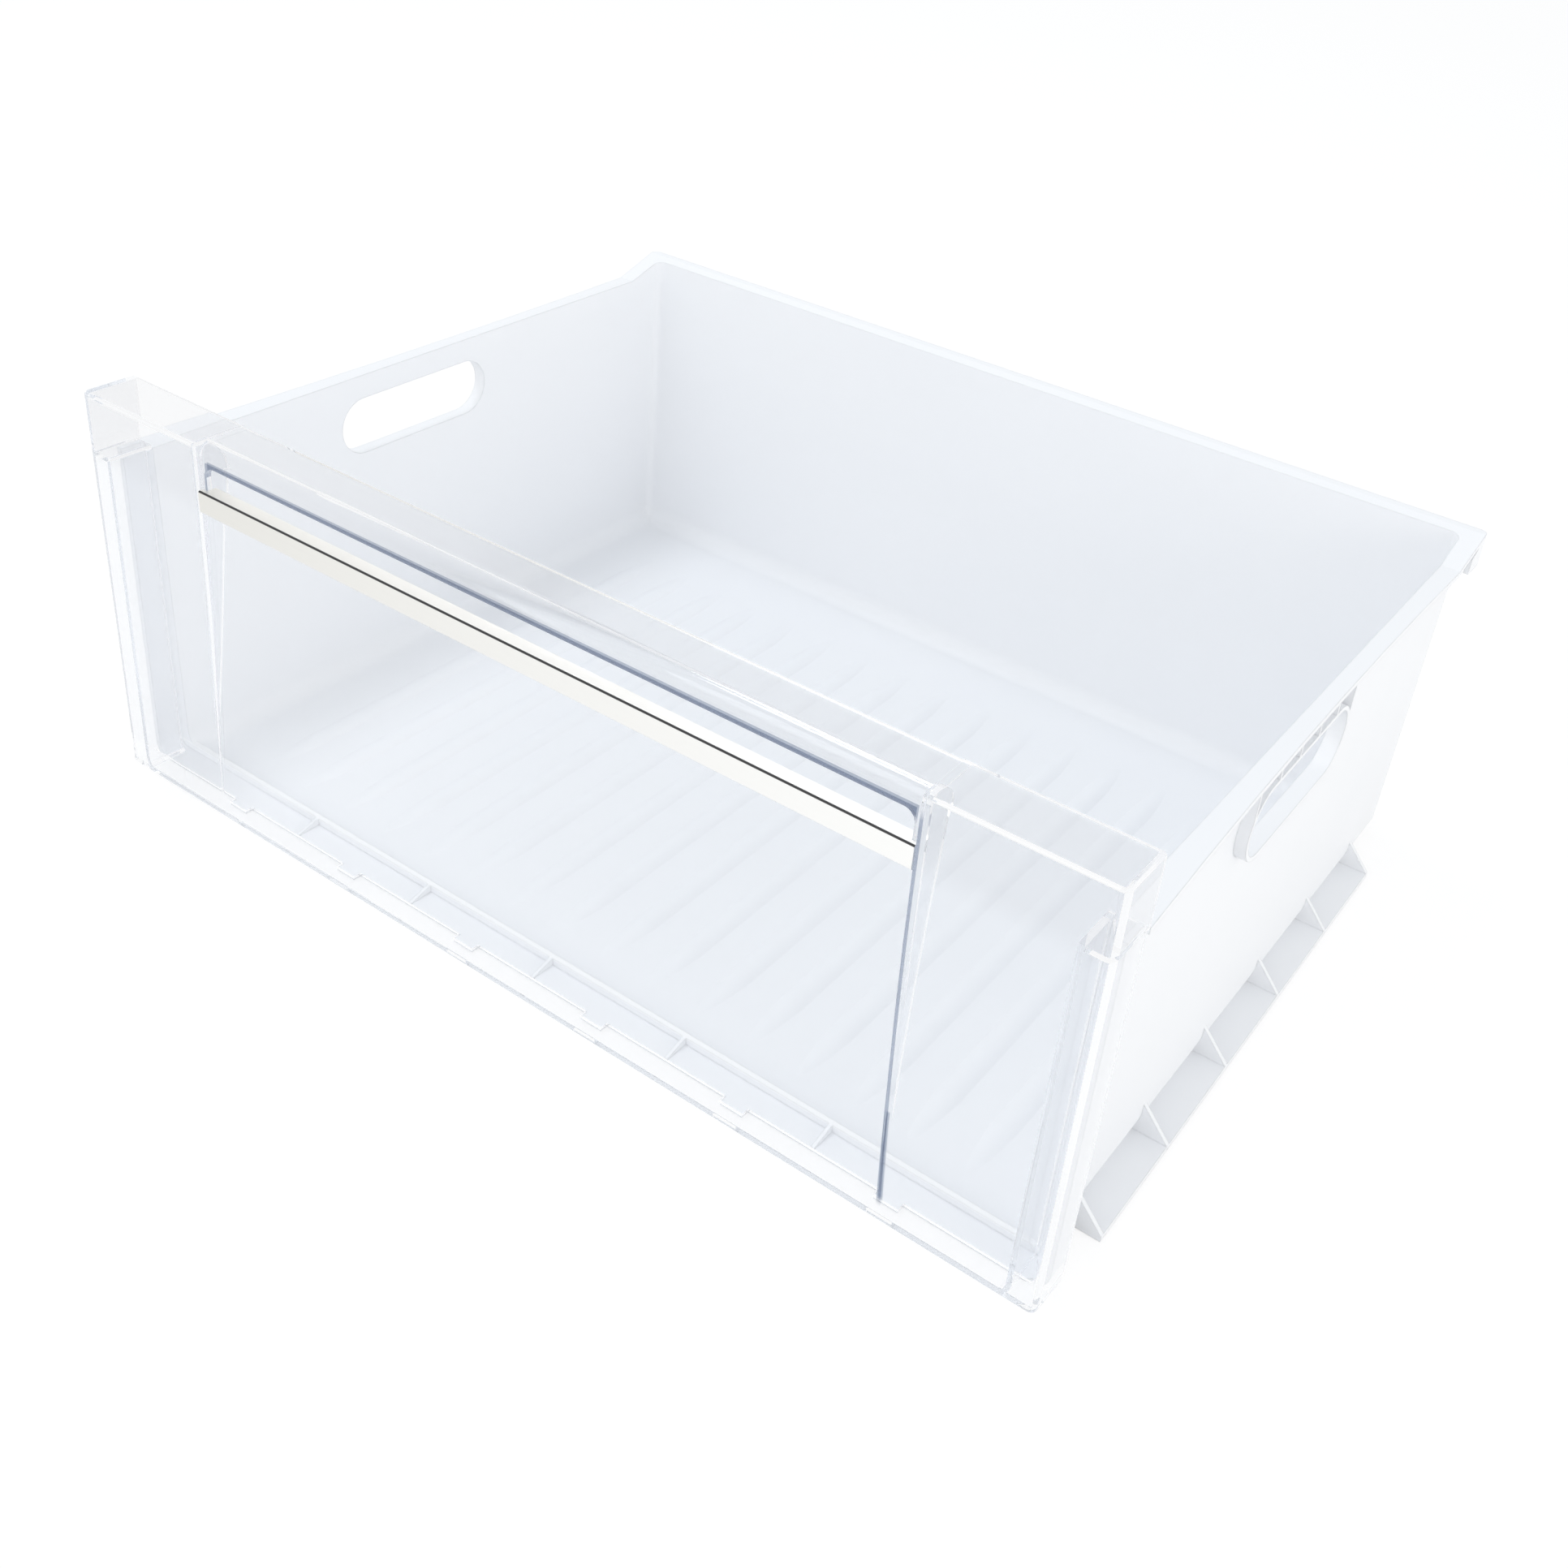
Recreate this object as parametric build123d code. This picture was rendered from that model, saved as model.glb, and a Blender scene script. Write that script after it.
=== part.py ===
from build123d import *
import os

# Freezer drawer: a white moulded basket with an open front, a clear front panel that clips onto
# it, and a bright handle trim on the lower edge of the panel's finger slot.
# Millimetres. X runs across the drawer, Y from front to back, Z up. The origin is the middle of
# the footprint, on the plane that the drawer slides on.

# Overall
drawer_depth = 350.0        # front of the panel to the back of the rim
front = -drawer_depth / 2
back = drawer_depth / 2

# Front panel
panel_width = 462.0         # across the front face
panel_height = 177.0
panel_lift = 1.0            # underside of the panel above the sliding plane
panel_wall = 2.4
panel_depth = 23.5          # top wall and upper side walls
panel_skirt_depth = 21.5    # side walls beside the basket, at their top
panel_skirt_run = 2.5       # how much shallower they are at the foot
panel_foot_depth = 11.5     # bottom wall
panel_flare = 0.3           # how much each side opens out towards the back
panel_edge_bevel = 0.9      # upper and lower edges
panel_corner_radius = 3.0   # upright front edges

# Recessed centre of the panel
recess_top_width = 327.4
recess_bottom_width = 338.4
recess_side_bow = 1.5       # how far the recess sides curve in at mid height
recess_depth = 2.7          # at the finger slot, running out to nothing at the foot
recess_foot = 10.0          # height where the recess runs out
lip_radius = 5.6            # rounded top edge above the finger slot
centre_drop = 0.4           # top of the centre below the tops of the wings

# Finger slot and the stiffening fins at its ends
slot_margin = 2.8           # slot end to recess side
slot_drop = 9.4             # top of the panel to the slot
slot_height = 11.6
slot_corner = 4.5
fin_depth = 15.5
fin_drop = 12.0             # top of the panel to the fins' deepest point
fin_crest = 8.0             # depth where the fins leave the top wall
fin_foot = 45.0             # height where the fins run out

# Handle trim
trim_height = 9.5
trim_wall = 1.3             # thickness of the hook
trim_stand = 2.3            # front of the trim to the panel's face at the slot
trim_rear_drop = 4.5        # height of the rear leg
trim_clearance = 0.2        # to the panel's edge in the groove
trim_end_gap = 0.5          # to the sides of the recess
trim_edge_radius = 1.0

# Locating ribs and shelves behind the wings
rib_inset = 10.0            # outer face of the side wall to outer face of the rib
rib_wall = 2.0
rib_radius = 6.0            # lower corners
rib_depth = 19.0
shelf_wall = 2.0

# Basket
basket_wall = 2.4
rim_height = 150.0          # side rims
back_rise = 8.0             # back rim above the side rims
rise_start = 30.0           # back of the rim to the foot of the rise
rise_end = 4.0              # back of the rim to the head of the rise
side_draft = 1.6            # how much each side wall leans out from foot to rim
back_draft = 3.0
back_splay = 1.9            # how much wider each side is at the back
corner_radius = 6.4         # upright back corners of the wall
floor_radius = 9.0          # inside, floor to walls
rim_reach = 8.6             # rim beyond the wall, at the front
back_rim_reach = 6.0
rim_wall = 2.4
rim_corner = 3.6
rim_bow = 3.0               # how much the side rims pull in at mid length
skirt_wall = 2.2            # skirt below the back rim
skirt_height = 15.0
skirt_return = 15.0         # along the sides

# Collar at the open front
collar_clearance = 0.8      # to the panel's side walls
seat_gap = 0.3              # between faces of the panel and the basket that meet
joggle = 5.0                # collar beyond the side walls
collar_length = 11.0
collar_radius = 8.0
front_lip = 3.2             # low front lip above the floor

# Front ledge: its gussets, and its tabs that sit in notches of the panel's bottom wall
gusset_count = 5
gusset_pitch = 67.3
gusset_wall = 1.6
tab_width = 10.0
tab_reach = 3.4

# Hand slots in the side walls
hand_slot_length = 90.0
hand_slot_height = 27.0
hand_slot_drop = 11.2       # rim to the slot
hand_slot_setback = 164.0   # front of the panel to the middle of the slot
hand_collar_wall = 2.0
hand_collar_inset = 0.8     # face of the collar inside the rim's edge
web_count = 6
web_wall = 1.4

# Side runners
runner_reach = 12.6         # beyond the foot of the wall
runner_setback = 42.0       # front of the panel to the runner
runner_length = 262.0
runner_gussets = 6
runner_gusset_wall = 2.0
runner_gusset_height = 16.5

# Floor ridges
ridge_count = 16
ridge_pitch = 24.4
ridge_height = 1.4
ridge_width = 10.5
ridge_taper = 26.0
ridge_setback = 38.0        # front of the panel to the ridges
ridge_back_gap = 50.0       # back of the rim to the ridges

# Sizes that follow
panel_half = panel_width / 2
panel_foot = panel_lift
panel_top = panel_lift + panel_height
recess_top_half = recess_top_width / 2
recess_bottom_half = recess_bottom_width / 2
recess_run_out = panel_foot + recess_foot
centre_top = panel_top - centre_drop
lip_height = centre_top - lip_radius
slot_top = panel_top - slot_drop
slot_bottom = slot_top - slot_height
slot_half = recess_top_half - slot_margin
rib_half = panel_half - rib_inset
shelf_foot = rim_height + seat_gap
collar_half = panel_half - panel_wall - collar_clearance
wall_half = collar_half - joggle
foot_half = wall_half - side_draft
rim_half = wall_half + rim_reach
wall_back = back - back_rim_reach
rim_top = rim_height + back_rise
collar_front = front + panel_foot_depth + seat_gap
collar_back = collar_front + collar_length
lip_top = basket_wall + front_lip
side_length = wall_back - collar_back
runner_half = foot_half + runner_reach
hand_slot_y = front + hand_slot_setback
hand_slot_z = rim_height - hand_slot_drop - hand_slot_height / 2
past = 40.0                 # how far cutting shapes run past what they cut


def yz_prism(outline, half):
    """Solid from a face drawn in Y and Z, run across the drawer to both sides of the middle."""
    return extrude(Plane.YZ * outline, amount=half, both=True)


def xz_prism(outline, start, end):
    """Solid from a face drawn in X and Z, run from one depth to another."""
    return extrude(Plane.XZ.offset(-start) * outline, amount=start - end)


def block(x0, x1, y0, y1, z0, z1):
    """Box between two corners."""
    return Pos((x0 + x1) / 2, (y0 + y1) / 2, (z0 + z1) / 2) * Box(x1 - x0, y1 - y0, z1 - z0)


def both_sides(solid):
    """The solid and its mirror image on the other side of the drawer."""
    return [solid, mirror(solid, about=Plane.YZ)]


def panel_plan(inset, end):
    """Plan of the panel's box, its sides opening out towards the back."""
    slope = panel_flare / panel_depth
    near = panel_half - inset
    far = near + slope * (end - front)
    plan = Polygon((-near, front + inset), (near, front + inset), (far, end), (-far, end), align=None)
    if inset == 0:
        plan = fillet(plan.vertices().group_by(Axis.Y)[0], panel_corner_radius)
    return plan


def recess_outline(offset):
    """Front view of the recessed centre, its sides curving out towards the foot, grown by an offset."""
    high = recess_top_half + offset
    low = recess_bottom_half + offset
    middle = ((high + low) / 2 - recess_side_bow, (panel_top + panel_foot) / 2)
    mirrored = (-middle[0], middle[1])
    return make_face([
        Line((-high, panel_top + past), (high, panel_top + past)),
        Line((high, panel_top + past), (high, panel_top)),
        ThreePointArc((high, panel_top), middle, (low, panel_foot)),
        Line((low, panel_foot), (low, panel_foot - past)),
        Line((low, panel_foot - past), (-low, panel_foot - past)),
        Line((-low, panel_foot - past), (-low, panel_foot)),
        ThreePointArc((-low, panel_foot), mirrored, (-high, panel_top)),
        Line((-high, panel_top), (-high, panel_top + past)),
    ])


def sheet_y(z):
    """Depth of the centre's front face below the rolled top edge."""
    share = (z - recess_run_out) / (lip_height - recess_run_out)
    return front + recess_depth * max(share, 0)


def centre_side(offset, top, foot, end):
    """Side view of all that lies behind the centre's face moved back by an offset."""
    radius = max(lip_radius - offset, 0.5)
    face = front + recess_depth + offset
    crown = top - radius
    turn = radius * (1 - 0.5 ** 0.5)
    return make_face([
        Line((sheet_y(foot) + offset, foot), (front + offset, max(recess_run_out, foot + 1))),
        Line((front + offset, max(recess_run_out, foot + 1)), (face, crown)),
        ThreePointArc((face, crown), (face + turn, top - turn), (face + radius, top)),
        Line((face + radius, top), (end, top)),
        Line((end, top), (end, foot)),
        Line((end, foot), (sheet_y(foot) + offset, foot)),
    ])


def finger_slot():
    """Cut for the finger slot, with round upper corners."""
    plan = Polygon((-slot_half, slot_bottom), (slot_half, slot_bottom),
                   (slot_half, slot_top), (-slot_half, slot_top), align=None)
    plan = fillet(plan.vertices().group_by(Axis.Y)[-1], slot_corner)
    return xz_prism(plan, front - past, front + panel_depth)


def fin_cut():
    """Everything behind the curved rear edge of the fins at the ends of the finger slot."""
    end = front + panel_depth + past
    under = centre_top - panel_wall
    deep = panel_top - fin_drop
    crest = front + fin_crest
    mid = (crest + (fin_depth - fin_crest) * 0.75, deep + (under - deep) * 0.62)
    foot_y = front + panel_wall
    side = make_face([
        Line((end, panel_foot + panel_wall), (end, under)),
        Line((end, under), (crest, under)),
        ThreePointArc((crest, under), mid, (front + fin_depth, deep)),
        Line((front + fin_depth, deep), (foot_y, panel_foot + fin_foot)),
        Line((foot_y, panel_foot + fin_foot), (foot_y, panel_foot + panel_wall)),
        Line((foot_y, panel_foot + panel_wall), (end, panel_foot + panel_wall)),
    ])
    fins = recess_outline(panel_wall) - recess_outline(0)
    return yz_prism(side, panel_half) & xz_prism(fins, front, end)


def tab_places():
    """Places of the ledge's tabs, midway between its gussets."""
    return [Pos((index - gusset_count / 2) * gusset_pitch, 0, 0) for index in range(gusset_count + 1)]


def rib_frame(inset):
    """Front view of the locating rib: upright at both sides, round into the foot."""
    outline = RectangleRounded(2 * (rib_half - inset), 2 * panel_height, rib_radius - inset)
    return Pos(0, panel_foot + panel_height + inset) * outline


def front_panel():
    """Clear moulded front: two hollow wings beside a recessed centre with a finger slot."""
    end = front + panel_depth
    past_end = end + past
    shell = Pos(0, 0, panel_foot) * extrude(panel_plan(0, end), amount=panel_height)
    front_edges = shell.faces().sort_by(Axis.Y)[0].edges().filter_by(Axis.X)
    shell = chamfer(front_edges, panel_edge_bevel)

    hollow = Pos(0, 0, panel_foot + panel_wall) * extrude(panel_plan(panel_wall, past_end),
                                                          amount=panel_height - 2 * panel_wall)
    wing_space = hollow - xz_prism(recess_outline(panel_wall), front - past, past_end + past)
    centre_body = yz_prism(centre_side(0, centre_top, panel_foot, past_end), panel_half)
    centre_inside = yz_prism(centre_side(panel_wall, centre_top - panel_wall,
                                         panel_foot + panel_wall, past_end), panel_half)
    centre_zone = xz_prism(recess_outline(0), front - past, past_end)
    panel = shell - wing_space - (centre_zone - centre_body) - (centre_zone & centre_inside)
    panel = panel - fin_cut() - finger_slot()

    # Walls that stop short beside and below the basket
    wide = panel_half + past
    skirt_end = front + panel_skirt_depth
    panel -= yz_prism(Polygon((skirt_end, shelf_foot), (past_end, shelf_foot), (past_end, 0),
                              (skirt_end - panel_skirt_run, 0), align=None), wide)
    inner = panel_half - panel_wall
    panel -= block(-inner, inner, front + panel_foot_depth, past_end, 0, panel_foot + panel_wall)

    # Locating rib and shelf in each wing
    rib_top = shelf_foot + shelf_wall
    rib = xz_prism(rib_frame(0) - rib_frame(rib_wall), front + panel_wall / 2, front + rib_depth)
    rib &= block(-wide, wide, front, end, panel_foot, rib_top)
    rib_clear = max(basket_wall + seat_gap, panel_foot + max(panel_wall, rib_wall))
    rib -= block(-wide, wide, front + panel_foot_depth, end, 0, rib_clear)
    shelf = block(rib_half - rib_wall, inner + panel_wall / 2, front + panel_wall / 2,
                  skirt_end, shelf_foot, rib_top)
    panel += [rib, *both_sides(shelf)]

    # Notches in the bottom wall for the ledge's tabs
    notch_half = tab_width / 2 + seat_gap
    notch = block(-notch_half, notch_half, front + panel_foot_depth - tab_reach, past_end,
                  0, panel_foot + panel_wall)
    return panel - [place * notch for place in tab_places()]


def handle_trim():
    """Bright flat strip hooked over the slot's lower edge."""
    top = slot_bottom + trim_clearance + trim_wall
    foot = top - trim_height
    sheet = sheet_y(slot_bottom)
    face = sheet - trim_stand
    rear = sheet + panel_wall + trim_clearance
    stop = sheet_y(foot) - trim_clearance
    section = Polygon((face, foot), (face, top), (stop, top), (stop, foot), align=None)
    section = fillet(section.vertices().group_by(Axis.X)[0], trim_edge_radius)
    hook = Polygon((stop, top - trim_wall), (stop, top), (rear + trim_wall, top),
                   (rear + trim_wall, top - trim_rear_drop), (rear, top - trim_rear_drop),
                   (rear, top - trim_wall), align=None)
    strip = yz_prism(section, recess_top_half - trim_end_gap)
    return strip + yz_prism(hook, slot_half - trim_clearance)


def side_cut(inset):
    """Everything outside the right wall, which leans out and splays, moved in by an inset."""
    along = Vector(back_splay, side_length, 0)
    upward = Vector(side_draft, 0, rim_top)
    outward = along.cross(upward).normalized()
    face = Plane(Vector(wall_half, collar_back, rim_top) - outward * inset, z_dir=outward)
    return extrude(face * Rectangle(4 * drawer_depth, 4 * drawer_depth), amount=panel_half)


def tub(inset, foot, start):
    """Drafted body of the basket, shrunk by an inset, with a round foot and tighter upright corners."""
    end = wall_back - inset
    run = back_draft / rim_top * (rim_top - foot)
    side = Polygon((start, foot), (end - run, foot), (end, rim_top), (start, rim_top), align=None)
    body = yz_prism(side, panel_half + past) - both_sides(side_cut(inset))
    foot_edges = body.edges().group_by(Axis.Z)[0].filter_by(lambda edge: edge.center().Y > start + 1)
    body = fillet(foot_edges, floor_radius + basket_wall - inset)
    uprights = body.edges().filter_by(lambda edge: abs(edge.tangent_at(0.5).Z) > 0.9)
    return fillet(uprights.group_by(Axis.Y)[-1], corner_radius - inset)


def cavity():
    """Space inside the basket, closed at the front by the low lip."""
    whole = tub(basket_wall, basket_wall, collar_front - past)
    low_front = block(-panel_half, panel_half, front - past, collar_back + basket_wall, 0, lip_top)
    return whole - low_front


def rim_plan(inset, start):
    """Plan inside the rim's edge: open straight front, sides that pull in, round back corners."""
    half = rim_half - inset
    end = back - inset
    radius = rim_corner - inset
    middle = (half - rim_bow, (start + end) / 2)
    outline = make_face([
        Line((-half, start), (half, start)),
        ThreePointArc((half, start), middle, (half, end)),
        Line((half, end), (-half, end)),
        ThreePointArc((-half, end), (-middle[0], middle[1]), (-half, start)),
    ])
    return fillet(outline.vertices().group_by(Axis.Y)[-1], radius)


def rim_line(lower):
    """Corner points of the rim's top seen from the side, from front to back, lowered by a given amount."""
    return [(front - past, rim_height - lower), (back - rise_start, rim_height - lower),
            (back - rise_end, rim_top - lower), (back + past, rim_top - lower)]


def rim():
    """Outward rim on the side and back walls, with a skirt round the back corners."""
    start = front + panel_depth + seat_gap
    column = Pos(0, 0, rim_height - past) * extrude(rim_plan(0, start), amount=rim_top + past)
    core = Pos(0, 0, rim_height - past) * extrude(rim_plan(skirt_wall, start), amount=rim_top + past)
    flange = yz_prism(Polygon(*rim_line(0), *reversed(rim_line(rim_wall)), align=None), panel_half + past)
    skirt_foot = rim_top - skirt_height
    skirt_side = Polygon((back - skirt_return, skirt_foot), (back + past, skirt_foot),
                         *reversed(rim_line(0)[2:]), (back - skirt_return, rim_height), align=None)
    skirt = (column - core) & yz_prism(skirt_side, panel_half + past)
    return (column & flange) + skirt


def collar():
    """Stepped collar round the open front, with the front ledge as its foot."""
    def frame(inset):
        outline = RectangleRounded(2 * (collar_half - inset), 2 * rim_height, collar_radius - inset)
        return Pos(0, rim_height + inset) * outline

    outside = xz_prism(frame(0), collar_front, collar_back + basket_wall)
    inside = xz_prism(frame(basket_wall), collar_front - past, collar_back)
    return (outside - inside) & block(-panel_half, panel_half, front, back, 0, rim_height)


def hand_slot():
    """Tall-walled grip opening in the right side: its collar with webs up to the rim, and its cut."""
    face = rim_half - rim_bow - hand_collar_inset
    ring_length = hand_slot_length + 2 * hand_collar_wall
    ring_height = hand_slot_height + 2 * hand_collar_wall
    place = Plane.YZ.offset(foot_half / 2) * Pos(hand_slot_y, hand_slot_z)
    grip = extrude(place * SlotOverall(ring_length, ring_height), amount=face - foot_half / 2)
    top = hand_slot_z + hand_slot_height / 2
    pitch = hand_slot_length / (web_count - 1)
    for index in range(web_count):
        y = hand_slot_y + (index - (web_count - 1) / 2) * pitch
        grip += block(foot_half / 2, face, y - web_wall / 2, y + web_wall / 2,
                      hand_slot_z, rim_height - rim_wall / 2)
    cut = extrude(place * SlotOverall(hand_slot_length, hand_slot_height), amount=panel_half)
    return grip, cut


def runner():
    """Side runner on the right: a flat flange at the foot with evenly spaced gussets."""
    start = front + runner_setback
    inner = foot_half / 2
    flange = block(inner, runner_half, start, start + runner_length, 0, basket_wall)
    side = Polygon((inner, 0), (runner_half, 0), (runner_half, basket_wall),
                   (foot_half, runner_gusset_height), (inner, runner_gusset_height), align=None)
    pitch = (runner_length - runner_gusset_wall) / (runner_gussets - 1)
    for index in range(runner_gussets):
        y = start + index * pitch
        flange += xz_prism(side, y, y + runner_gusset_wall)
    return flange


def front_gussets():
    """Low gussets from the front lip down to the ledge."""
    tip = collar_front + seat_gap
    side = Polygon((collar_back + basket_wall / 2, 0), (tip, 0), (tip, basket_wall + seat_gap),
                   (collar_back, lip_top), (collar_back + basket_wall / 2, lip_top), align=None)
    gusset = extrude(Plane.YZ * side, amount=gusset_wall / 2, both=True)
    places = [Pos((index - (gusset_count - 1) / 2) * gusset_pitch, 0, 0) for index in range(gusset_count)]
    return [place * gusset for place in places]


def ledge_tabs():
    """Flat tabs at the front of the ledge."""
    tab = block(-tab_width / 2, tab_width / 2, collar_front - tab_reach, collar_front + basket_wall,
                0, basket_wall)
    return [place * tab for place in tab_places()]


def floor_ridges():
    """Long shallow ridges on the floor, each a round back that dips into the floor at both ends."""
    start = front + ridge_setback
    end = back - ridge_back_gap
    radius = ridge_width ** 2 / (8 * ridge_height) + ridge_height / 2
    high = basket_wall + ridge_height - radius
    low = high - ridge_height
    spine = Polyline((0, start, low), (0, start + ridge_taper, high),
                     (0, end - ridge_taper, high), (0, end, low))
    section = Plane(spine @ 0, z_dir=spine % 0) * Circle(radius)
    ridge = sweep(section, path=spine, transition=Transition.RIGHT)
    ridge &= block(-radius, radius, start - past, end + past, basket_wall / 2, rim_height)
    places = [Pos((index - (ridge_count - 1) / 2) * ridge_pitch, 0, 0) for index in range(ridge_count)]
    return [place * ridge for place in places]


def basket():
    """White moulded tub with its rim, front collar, hand slots, runners and floor ridges."""
    grip, grip_cut = hand_slot()
    body = tub(0, 0, collar_back)
    body += [rim(), collar(), *both_sides(grip), *both_sides(runner())]
    above = Polygon(*rim_line(0), (back + past, rim_top + past), (front - past, rim_top + past), align=None)
    body -= [yz_prism(above, panel_half + past), cavity(), *both_sides(grip_cut)]
    return body + [*front_gussets(), *ledge_tabs(), *floor_ridges()]


os.makedirs("parts", exist_ok=True)
export_step(basket(), "parts/basket.step")
export_step(front_panel(), "parts/front_panel.step")
export_step(handle_trim(), "parts/handle_trim.step")
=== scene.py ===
"""Freezer drawer, dressed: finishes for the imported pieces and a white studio."""

import bmesh
import bpy
from bpy.props import FloatProperty, FloatVectorProperty, PointerProperty
from bpy.types import NodeSocket, Operator, Panel, PropertyGroup
from mathutils import Matrix, Vector


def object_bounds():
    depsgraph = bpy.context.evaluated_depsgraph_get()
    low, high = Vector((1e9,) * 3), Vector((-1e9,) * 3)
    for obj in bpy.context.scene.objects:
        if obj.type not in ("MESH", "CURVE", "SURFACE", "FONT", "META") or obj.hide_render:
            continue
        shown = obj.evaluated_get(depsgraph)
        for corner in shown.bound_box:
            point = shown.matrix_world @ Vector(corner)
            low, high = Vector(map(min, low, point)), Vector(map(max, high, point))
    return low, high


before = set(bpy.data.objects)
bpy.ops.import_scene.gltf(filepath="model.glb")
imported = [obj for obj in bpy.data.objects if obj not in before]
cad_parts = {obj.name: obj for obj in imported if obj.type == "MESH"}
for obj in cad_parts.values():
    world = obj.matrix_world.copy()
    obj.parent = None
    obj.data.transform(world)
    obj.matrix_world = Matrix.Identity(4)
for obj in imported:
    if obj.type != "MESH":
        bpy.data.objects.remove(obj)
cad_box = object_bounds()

bl_info = {
    "name": "Freezer drawer",
    "version": (1, 0, 0),
    "blender": (4, 5, 0),
    "location": "3D View > Sidebar > Drawer",
    "description": "Finishes a packed freezer drawer and sets it in a white studio",
    "category": "Object",
}

# Places on the imported pieces, in metres
# Front panel: face, depth of the painted dark lines on it, foot and top, and where its upper tint sets in
PANEL_FACE = cad_box[0].y
FACE_DEPTH = 0.0028
PANEL_FOOT = 0.001
PANEL_TOP = cad_box[1].z
UPPER_START = 0.146
UPPER_FULL = 0.156

# Finger slot: half length, foot and top as seen over the trim, and the painted dark band above it, which
# stands in for a dark reflection in the clear edge
SLOT_HALF = 0.1609
SLOT_FOOT = 0.1640
SLOT_TOP = 0.1686
SLOT_BAND = 0.0015

# Painted dark line down the slot's left end, standing in for a dark reflection in the clear edge, and over
# what height it fades
END_WIDTH = 0.0007
END_FOOT = 0.1586
END_TOP = 0.1656
END_FADE = 0.0005

# Right side of the recess: half width at the foot, and how it narrows over the panel's height
RECESS_FOOT = 0.1692
RECESS_LEAN = -0.0115
RECESS_BOW = 0.0060

# Painted dark line up that side, standing in for a dark reflection in the clear step: foot, how far it
# laps onto the recess, and over what height it fades
STEP_FOOT = 0.012
STEP_LAP = 0.0004
STEP_FADE = 0.004

# Front lip of the basket: its top, the height and fade of the painted highlight along that top, and the
# lip's front and back
LIP_TOP = 0.0056
LIP_HIGHLIGHT = 0.0005
LIP_HIGHLIGHT_FADE = 0.0004
LIP_FRONT = -0.1524
LIP_BACK = -0.1496

# Soft edges of the painted lines and of the painted dark bands
LINE_EDGE = 0.0001
BAND_EDGE = 0.0002

# Camera at the photograph's angle
CAMERA_PLACE = (0.35471, -0.53842, 0.47186)
CAMERA_RIGHT = (0.8185, 0.56651, 0.0955)
CAMERA_UP = (-0.35783, 0.37267, 0.8562)
CAMERA_BACK = (0.44945, -0.73497, 0.50775)
CAMERA_SHIFT = (-0.0416, -0.0990)

# Lamps: place, width and colour
LAMPS = {
    "key": ((-0.3, -1.9, 1.2), 1.6, (0.96, 0.98, 1.0)),
    "left": ((-0.75, 0.2, 2.1), 0.5, (0.97, 0.985, 1.0)),
    "right": ((1.9, -0.2, 0.55), 0.8, (1.0, 0.96, 0.91)),
}
FLOOR_GAP = 0.0006


def colour_property(name, description, default):
    """A colour that a user can pick."""
    return FloatVectorProperty(name=name, description=description, default=default,
                               subtype="COLOR", size=3, min=0.0, max=1.0)


def length_property(name, description, default):
    """A length in metres."""
    return FloatProperty(name=name, description=description, default=default, unit="LENGTH",
                         min=0.0, precision=5)


def share_property(name, description, default):
    """A number from 0 to 1."""
    return FloatProperty(name=name, description=description, default=default, subtype="FACTOR",
                         min=0.0, max=1.0)


def power_property(name, description, default):
    """A lamp's power in watts."""
    return FloatProperty(name=name, description=description, default=default, unit="POWER", min=0.0)


class BasketFinish(PropertyGroup):
    """White moulded plastic of the basket."""
    colour: colour_property("White", "Colour of the moulding", (0.903, 0.914, 0.934))
    shade: colour_property("Flow shade", "Colour where the melt flowed last", (0.890, 0.903, 0.926))
    # Painted highlight: a lighter colour along the top of the front lip, where its rounded edge catches
    # the light
    lip: colour_property("Lip", "Colour of the highlighted top of the front lip", (0.97, 0.975, 0.98))
    roughness: share_property("Roughness", "Satin finish of the mould", 0.42)
    grain: length_property("Grain size", "Size of the mould's fine texture", 0.0009)
    grain_depth: length_property("Grain depth", "Depth of the mould's fine texture", 0.000012)
    edge_radius: length_property("Edge radius", "Rounding of the moulded edges", 0.0007)


class PanelFinish(PropertyGroup):
    """Clear moulded plastic of the front panel."""
    tint: colour_property("Tint", "Colour of light through one face", (0.978, 0.981, 0.987))
    upper_tint: colour_property("Upper tint", "Colour of light through one face above the basket",
                                (0.925, 0.926, 0.932))
    depth_tint: colour_property("Depth tint", "Colour of light along a wall", (0.65, 0.69, 0.74))
    density: FloatProperty(name="Depth density", description="Darkening per metre along a wall",
                           default=2.5, min=0.0)
    # Painted dark reflections: the colour painted on the slot's edges and along the recess's right edge
    painted_dark_tint: colour_property("Dark tint", "Colour in the slot's edges and the recess's right edge",
                               (0.26, 0.30, 0.39))
    painted_step_width: length_property("Step width", "Width of the dark line at the recess's right side", 0.0012)
    turns: FloatProperty(name="Turns inside", description="Mirror turns after which light leaves a wall",
                         default=3.0, min=1.0)
    depth: FloatProperty(name="Faces passed", description="Faces after which light goes straight on",
                         default=7.0, min=1.0)
    refraction: FloatProperty(name="Refraction", description="Index of refraction of the clear plastic",
                              default=1.57, min=1.0, max=2.0)
    roughness: share_property("Roughness", "Polish of the mould", 0.03)
    ripple: length_property("Ripple depth", "Depth of the flow ripples", 0.000006)


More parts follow.
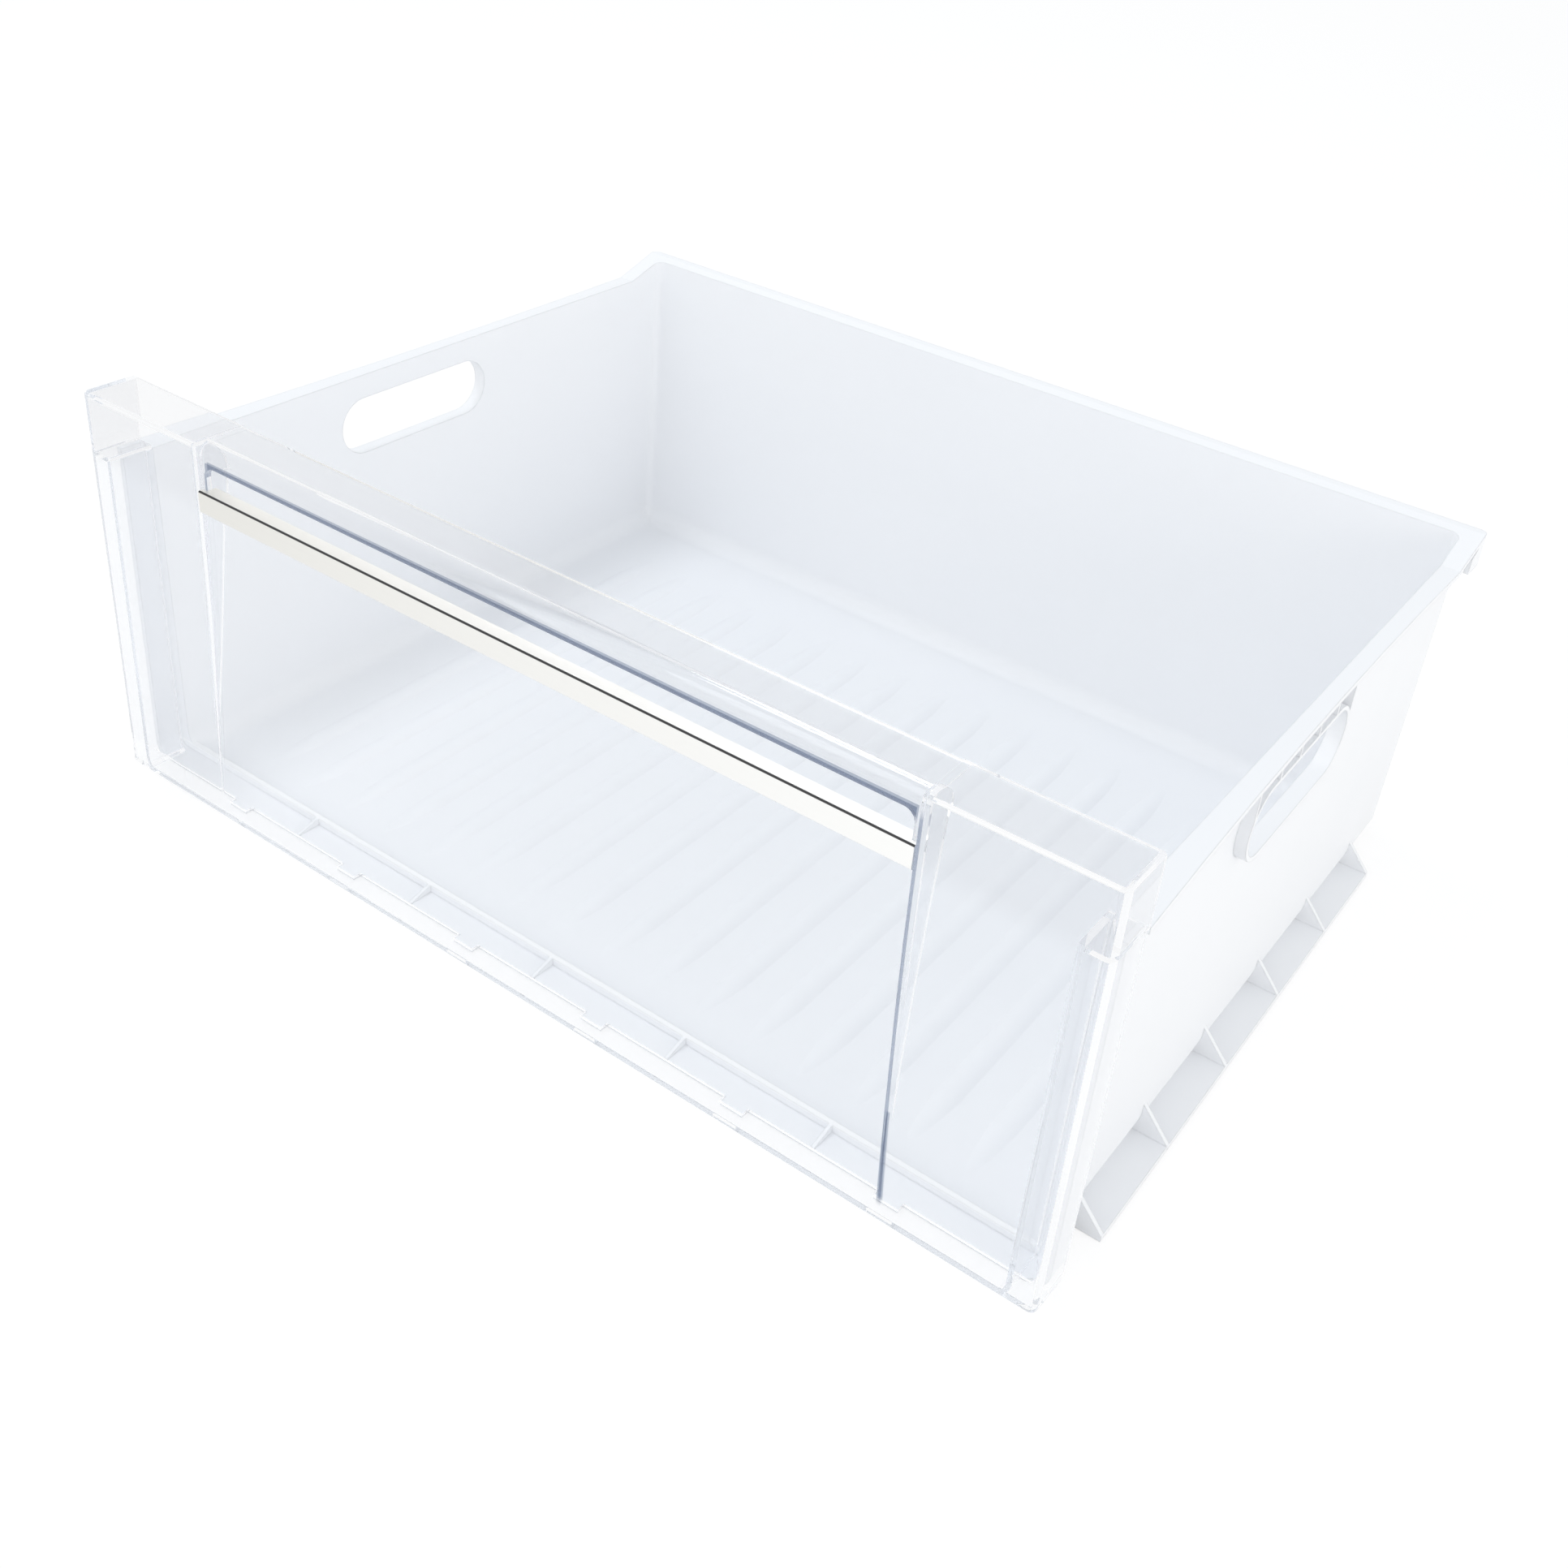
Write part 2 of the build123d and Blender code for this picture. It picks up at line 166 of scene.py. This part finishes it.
class TrimFinish(PropertyGroup):
    """Satin bright strip of the handle, with painted shade on its upper edge and a painted reflection
    across its face.
    """
    # The face's colour is the strip's own cream metal plus a painted reflection: darker at the left,
    # lighter at the right
    face: colour_property("Face", "Colour of the strip's face at the left", (0.80, 0.79, 0.75))
    far_face_sheen: colour_property("Far face", "Colour of the strip's face at the right", (0.97, 0.968, 0.95))
    length: length_property("Length", "Length of the strip", 0.3264)
    # Painted shade: near-black on the strip's rounded upper edge
    top: colour_property("Top", "Colour of the strip's dark upper edge", (0.012, 0.012, 0.014))
    roughness: share_property("Roughness", "Satin finish of the strip", 0.34)
    brush: length_property("Brush depth", "Depth of the brush lines", 0.000004)


class StageLook(PropertyGroup):
    """White studio, soft light and camera."""
    floor_size: length_property("Floor", "Width of the floor", 8.0)
    floor_colour: colour_property("Floor colour", "Colour of the floor", (0.80, 0.80, 0.80))
    floor_shadow: share_property("Floor shadow", "Colour of the floor where it is seen", 0.25)
    floor_glow: share_property("Floor lift", "White added to the floor where it is seen", 0.78)
    zenith: colour_property("Zenith", "Colour of the light from above", (0.88, 0.94, 1.0))
    zenith_strength: FloatProperty(name="Zenith strength", description="Light from above",
                                   default=0.67, min=0.0)
    horizon: colour_property("Horizon", "Colour of the light from all round", (1.0, 0.985, 0.965))
    horizon_strength: FloatProperty(name="Horizon strength", description="Light from all round",
                                    default=1.10, min=0.0)
    key_power: power_property("Key", "Soft lamp above the front", 7.0)
    left_power: power_property("Left", "Lamp above the left that shapes the floor's ridges", 7.5)
    right_power: power_property("Right", "Low warm lamp at the right", 6.8)
    lens: FloatProperty(name="Lens", description="Focal length in millimetres", default=39.76, min=1.0)


class DrawerSettings(PropertyGroup):
    """All settings of the drawer."""
    basket: PointerProperty(type=BasketFinish)
    panel: PointerProperty(type=PanelFinish)
    trim: PointerProperty(type=TrimFinish)
    stage: PointerProperty(type=StageLook)


class NodeTree:
    """Short calls for the nodes and links of a finish or of the sky."""

    def __init__(self, tree):
        self.tree = tree

    def add(self, kind, **values):
        """A node with its own settings and unlinked sockets set."""
        node = self.tree.nodes.new(kind)
        for key, value in values.items():
            if key in node.inputs:
                node.inputs[key].default_value = value
            else:
                setattr(node, key, value)
        return node

    def link(self, source, target):
        self.tree.links.new(source, target)

    def place(self):
        """X, Y and Z in the object's own metres."""
        return self.axes(self.add("ShaderNodeTexCoord").outputs["Object"])

    def axes(self, vector):
        """X, Y and Z of a vector."""
        split = self.add("ShaderNodeSeparateXYZ")
        self.link(vector, split.inputs["Vector"])
        return split.outputs["X"], split.outputs["Y"], split.outputs["Z"]

    def noise(self, scale, detail=2.0, stretch=(1.0, 1.0, 1.0)):
        """Noise in the object's own metres, optionally stretched."""
        place = self.add("ShaderNodeTexCoord")
        spread = self.add("ShaderNodeMapping", Scale=stretch)
        noise = self.add("ShaderNodeTexNoise", Scale=scale, Detail=detail)
        self.link(place.outputs["Object"], spread.inputs["Vector"])
        self.link(spread.outputs["Vector"], noise.inputs["Vector"])
        return noise.outputs["Fac"]

    def ramp(self, factor, low, high, first=0.0, last=1.0):
        """Maps a factor between two limits onto two values."""
        ranger = self.add("ShaderNodeMapRange", **{"From Min": low, "From Max": high,
                                                   "To Min": first, "To Max": last})
        self.link(factor, ranger.inputs["Value"])
        return ranger.outputs["Result"]

    def between(self, value, low, high, soft=LINE_EDGE):
        """One between two limits, falling to nothing over a soft edge outside them."""
        return self.times(self.ramp(value, low - soft, low), self.ramp(value, high, high + soft, 1.0, 0.0))

    def fold(self, operation, factors):
        """Two or more factors joined by one operation."""
        total = factors[0]
        for factor in factors[1:]:
            step = self.add("ShaderNodeMath", operation=operation)
            self.link(total, step.inputs[0])
            self.link(factor, step.inputs[1])
            total = step.outputs[0]
        return total

    def times(self, *factors):
        """Product of some factors."""
        return self.fold("MULTIPLY", factors)

    def most(self, *factors):
        """Largest of some factors."""
        return self.fold("MAXIMUM", factors)

    def fill(self, socket, part):
        """Links a socket to the output of a node, or sets it to a plain value."""
        if isinstance(part, NodeSocket):
            self.link(part, socket)
        else:
            socket.default_value = part

    def scaled(self, value, factor, addend):
        """A value times a factor plus an addend, each a number or the output of a node."""
        node = self.add("ShaderNodeMath", operation="MULTIPLY_ADD")
        for socket, part in zip(node.inputs, (value, factor, addend)):
            self.fill(socket, part)
        return node.outputs[0]

    def blend(self, factor, first, last):
        """Colour between two, each a plain colour or the output of a node."""
        mix = self.add("ShaderNodeMix", data_type="RGBA")
        colours = [socket for socket in mix.inputs if socket.type == "RGBA"]
        for socket, colour in zip(colours, (first, last)):
            self.fill(socket, colour if isinstance(colour, NodeSocket) else (*colour, 1.0))
        self.link(factor, mix.inputs["Factor"])
        return next(socket for socket in mix.outputs if socket.type == "RGBA")

    def bump(self, height, distance, strength, normal=None):
        """Surface relief from a height."""
        bump = self.add("ShaderNodeBump", Strength=strength, Distance=distance)
        self.link(height, bump.inputs["Height"])
        if normal is not None:
            self.link(normal, bump.inputs["Normal"])
        return bump.outputs["Normal"]

    def either(self, factor, first, last, target):
        """Goes from one shader to another by a factor."""
        mix = self.add("ShaderNodeMixShader")
        for socket, source in zip(mix.inputs, (factor, first, last)):
            self.link(source, socket)
        self.link(mix.outputs["Shader"], target)

    def seen(self):
        """One where a surface is seen straight, in a reflection or through clear plastic."""
        path = self.add("ShaderNodeLightPath").outputs
        return self.most(path["Is Camera Ray"], path["Is Glossy Ray"], path["Is Transmission Ray"])


def new_material(name):
    """A fresh material, its node tree and its shader's sockets."""
    material = bpy.data.materials.new(name)
    material.use_nodes = True
    tree = NodeTree(material.node_tree)
    return material, tree, tree.tree.nodes["Principled BSDF"].inputs


def dress(node_name, material):
    """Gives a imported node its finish."""
    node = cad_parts.get(node_name)
    if node is None:
        raise RuntimeError("the packed model has no node " + node_name)
    node.data.materials.clear()
    node.data.materials.append(material)


class DRAWER_OT_basket(Operator):
    """Finish the basket in white satin plastic, with a painted highlight along the top of its front lip.
    """
    bl_idname = "drawer.basket"
    bl_label = "Basket finish"

    def execute(self, context):
        look = context.scene.drawer.basket
        material, tree, shader = new_material("basket_white")
        flow = tree.noise(scale=5.0, detail=3.0, stretch=(1.0, 0.5, 1.4))
        moulded = tree.blend(tree.ramp(flow, 0.35, 0.65), look.colour, look.shade)
        _, y, z = tree.place()
        # Painted highlight: a lighter band along the top of the front lip, where its rounded edge catches
        # the light
        lip = tree.times(tree.between(z, LIP_TOP - LIP_HIGHLIGHT, LIP_TOP + LINE_EDGE, LIP_HIGHLIGHT_FADE),
                         tree.between(y, LIP_FRONT, LIP_BACK))
        tree.link(tree.blend(lip, moulded, look.lip), shader["Base Color"])

        wear = tree.noise(scale=34.0, detail=4.0)
        tree.link(tree.ramp(wear, 0.3, 0.7, look.roughness - 0.05, look.roughness + 0.06),
                  shader["Roughness"])
        edge = tree.add("ShaderNodeBevel", samples=4, Radius=look.edge_radius)
        grain = tree.noise(scale=1.0 / look.grain)
        relief = tree.bump(grain, look.grain_depth, strength=0.6, normal=edge.outputs["Normal"])
        tree.link(relief, shader["Normal"])
        shader["IOR"].default_value = 1.5
        dress("basket", material)
        return {"FINISHED"}


def painted_dark_lines(tree, place, painted_step_width):
    """Painted dark lines of the panel, standing in for the dark total reflections in its clear edges: over
    the slot, down its left end and up the recess's right side.
    """
    x, y, z = place
    face = tree.between(y, PANEL_FACE, PANEL_FACE + FACE_DEPTH)
    over = tree.times(tree.between(x, -SLOT_HALF, SLOT_HALF),
                      tree.between(z, SLOT_FOOT, SLOT_TOP + SLOT_BAND, BAND_EDGE))
    end = tree.times(face, tree.between(x, -SLOT_HALF - END_WIDTH, -SLOT_HALF),
                     tree.between(z, END_FOOT, END_TOP, END_FADE))
    rise = tree.ramp(z, PANEL_FOOT, PANEL_TOP)
    side = tree.scaled(rise, tree.scaled(rise, RECESS_BOW, RECESS_LEAN), RECESS_FOOT)
    step = tree.times(face, tree.between(tree.scaled(side, -1.0, x), -STEP_LAP, painted_step_width, BAND_EDGE),
                      tree.between(z, STEP_FOOT, SLOT_TOP, STEP_FADE))
    return tree.most(over, end, step)


class DRAWER_OT_panel(Operator):
    """Finish the front panel in clear plastic, tinted along its walls, with painted dark reflections at
    the slot and up the recess's right edge.
    """
    bl_idname = "drawer.panel"
    bl_label = "Front panel finish"

    def execute(self, context):
        look = context.scene.drawer.panel
        material, tree, shader = new_material("panel_clear")
        shader["Transmission Weight"].default_value = 1.0
        shader["IOR"].default_value = look.refraction
        place = tree.place()
        body = tree.blend(tree.ramp(place[2], UPPER_START, UPPER_FULL), look.tint, look.upper_tint)
        # Painted dark reflections: the dark lines are blended into the colour, which also tints the
        # reflections
        colour = tree.blend(painted_dark_lines(tree, place, look.painted_step_width), body, look.painted_dark_tint)
        tree.link(colour, shader["Base Color"])
        tree.link(colour, shader["Specular Tint"])
        haze = tree.noise(scale=18.0, detail=4.0)
        tree.link(tree.ramp(haze, 0.4, 0.75, look.roughness * 0.4, look.roughness * 1.6),
                  shader["Roughness"])
        ripple = tree.noise(scale=26.0, detail=1.0, stretch=(0.6, 1.0, 1.0))
        tree.link(tree.bump(ripple, look.ripple, strength=0.35), shader["Normal"])

        output = tree.tree.nodes["Material Output"].inputs
        wall = tree.add("ShaderNodeVolumeAbsorption", Color=(*look.depth_tint, 1.0), Density=look.density)
        tree.link(wall.outputs["Volume"], output["Volume"])

        # Shadows, soft light and light caught between the walls go straight through
        path = tree.add("ShaderNodeLightPath").outputs
        straight = tree.most(path["Is Shadow Ray"], path["Is Diffuse Ray"],
                             tree.ramp(path["Glossy Depth"], look.turns - 1.0, look.turns),
                             tree.ramp(path["Ray Depth"], look.depth - 1.0, look.depth))
        clear = tree.tree.nodes["Principled BSDF"].outputs["BSDF"]
        through = tree.add("ShaderNodeBsdfTransparent", Color=(*look.tint, 1.0)).outputs["BSDF"]
        tree.either(straight, clear, through, output["Surface"])
        dress("front_panel", material)
        return {"FINISHED"}


class DRAWER_OT_trim(Operator):
    """Finish the handle trim in satin metal, with painted shade on its upper edge and a painted reflection
    that lightens its face towards the right.
    """
    bl_idname = "drawer.trim"
    bl_label = "Handle trim finish"

    def execute(self, context):
        look = context.scene.drawer.trim
        material, tree, shader = new_material("trim_satin")
        # Painted shade: faces that turn upwards, short of the flat top, get the near-black colour and no
        # metal
        facing = tree.axes(tree.add("ShaderNodeNewGeometry").outputs["Normal"])[2]
        upper = tree.times(tree.ramp(facing, 0.30, 0.45), tree.ramp(facing, 0.93, 0.99, 1.0, 0.0))
        # Painted reflection: the face goes from darker at the left end to lighter at the right end
        along = tree.place()[0]
        face = tree.blend(tree.ramp(along, -look.length / 2, look.length / 2), look.face, look.far_face_sheen)
        tree.link(tree.blend(upper, face, look.top), shader["Base Color"])
        tree.link(tree.ramp(upper, 0.0, 1.0, 1.0, 0.0), shader["Metallic"])
        lines = tree.noise(scale=2600.0, detail=3.0, stretch=(0.02, 1.0, 1.0))
        tree.link(tree.ramp(lines, 0.3, 0.7, look.roughness - 0.06, look.roughness + 0.08),
                  shader["Roughness"])
        tree.link(tree.bump(lines, look.brush, strength=0.5), shader["Normal"])
        dress("handle_trim", material)
        return {"FINISHED"}


def build_floor(look):
    """Wide pale floor that keeps the drawer's soft shadow."""
    mesh = bpy.data.meshes.new("floor")
    shape = bmesh.new()
    bmesh.ops.create_grid(shape, x_segments=8, y_segments=8, size=look.floor_size / 2)
    shape.to_mesh(mesh)
    shape.free()
    floor = bpy.data.objects.new("floor", mesh)
    floor.location.z = cad_box[0].z - FLOOR_GAP
    bpy.context.scene.collection.objects.link(floor)

    material, tree, shader = new_material("floor_pale")
    seen = tree.seen()
    tree.link(tree.blend(seen, look.floor_colour, (look.floor_shadow,) * 3), shader["Base Color"])
    tree.link(tree.ramp(tree.noise(scale=3.0), 0.3, 0.7, 0.85, 0.95), shader["Roughness"])
    shader["Specular IOR Level"].default_value = 0.0
    shader["Emission Color"].default_value = (1.0, 1.0, 1.0, 1.0)
    tree.link(tree.ramp(seen, 0.0, 1.0, 0.0, look.floor_glow), shader["Emission Strength"])
    mesh.materials.append(material)


def build_sky(look):
    """Soft light that goes from the horizon to the zenith, plain white where it is seen."""
    world = bpy.data.worlds.new("studio")
    world.use_nodes = True
    tree = NodeTree(world.node_tree)
    light = tree.tree.nodes["Background"]
    grade = tree.add("ShaderNodeValToRGB")
    horizon, zenith = grade.color_ramp.elements
    horizon.color = (*(part * look.horizon_strength for part in look.horizon), 1.0)
    zenith.color = (*(part * look.zenith_strength for part in look.zenith), 1.0)
    height = tree.axes(tree.add("ShaderNodeTexCoord").outputs["Generated"])[2]
    tree.link(height, grade.inputs["Fac"])
    tree.link(grade.outputs["Color"], light.inputs["Color"])
    white = tree.add("ShaderNodeBackground", Color=(1.0, 1.0, 1.0, 1.0))
    tree.either(tree.seen(), light.outputs["Background"], white.outputs["Background"],
                tree.tree.nodes["World Output"].inputs["Surface"])
    bpy.context.scene.world = world


def build_lamp(name, place, aim, size, power, colour):
    """Soft square lamp turned towards a point."""
    lamp = bpy.data.lights.new(name, "AREA")
    lamp.shape = "SQUARE"
    lamp.size = size
    lamp.energy = power
    lamp.color = colour
    holder = bpy.data.objects.new(name, lamp)
    holder.location = place
    holder.rotation_mode = "QUATERNION"
    holder.rotation_quaternion = (Vector(aim) - Vector(place)).to_track_quat("-Z", "Y")
    holder.visible_camera = False
    bpy.context.scene.collection.objects.link(holder)


def build_camera(look):
    """Camera at the photograph's viewing angle."""
    camera = bpy.data.cameras.new("camera")
    camera.lens = look.lens
    camera.sensor_width = 36.0
    camera.shift_x, camera.shift_y = CAMERA_SHIFT
    camera.clip_start = 0.01
    camera.clip_end = 100.0
    holder = bpy.data.objects.new("camera", camera)
    turn = Matrix((CAMERA_RIGHT, CAMERA_UP, CAMERA_BACK)).transposed().to_4x4()
    holder.matrix_world = Matrix.Translation(CAMERA_PLACE) @ turn
    bpy.context.scene.collection.objects.link(holder)
    bpy.context.scene.camera = holder


class DRAWER_OT_stage(Operator):
    """Set the white floor, the soft light and the camera."""
    bl_idname = "drawer.stage"
    bl_label = "Studio"

    def execute(self, context):
        look = context.scene.drawer.stage
        build_floor(look)
        build_sky(look)
        middle = (cad_box[0] + cad_box[1]) / 2
        for name, (place, size, colour) in LAMPS.items():
            build_lamp(name, place, middle, size, getattr(look, name + "_power"), colour)
        build_camera(look)
        context.scene.view_settings.view_transform = "Standard"
        return {"FINISHED"}


class DRAWER_PT_sidebar(Panel):
    """Lists the drawer's steps and settings."""
    bl_label = "Freezer drawer"
    bl_idname = "DRAWER_PT_sidebar"
    bl_space_type = "VIEW_3D"
    bl_region_type = "UI"
    bl_category = "Drawer"

    def draw(self, context):
        settings = context.scene.drawer
        for step, group in zip(STEPS, ("basket", "panel", "trim", "stage")):
            box = self.layout.box()
            box.operator(step.bl_idname)
            values = getattr(settings, group)
            for name in values.__annotations__:
                box.prop(values, name)


STEPS = (DRAWER_OT_basket, DRAWER_OT_panel, DRAWER_OT_trim, DRAWER_OT_stage)
GROUPS = (BasketFinish, PanelFinish, TrimFinish, StageLook, DrawerSettings)
CLASSES = (*GROUPS, *STEPS, DRAWER_PT_sidebar)


def register():
    for cls in CLASSES:
        bpy.utils.register_class(cls)
    bpy.types.Scene.drawer = PointerProperty(type=DrawerSettings)


def unregister():
    del bpy.types.Scene.drawer
    for cls in reversed(CLASSES):
        bpy.utils.unregister_class(cls)


def main():
    register()
    bpy.ops.drawer.basket()
    bpy.ops.drawer.panel()
    bpy.ops.drawer.trim()
    bpy.ops.drawer.stage()


if __name__ == "__main__":
    main()
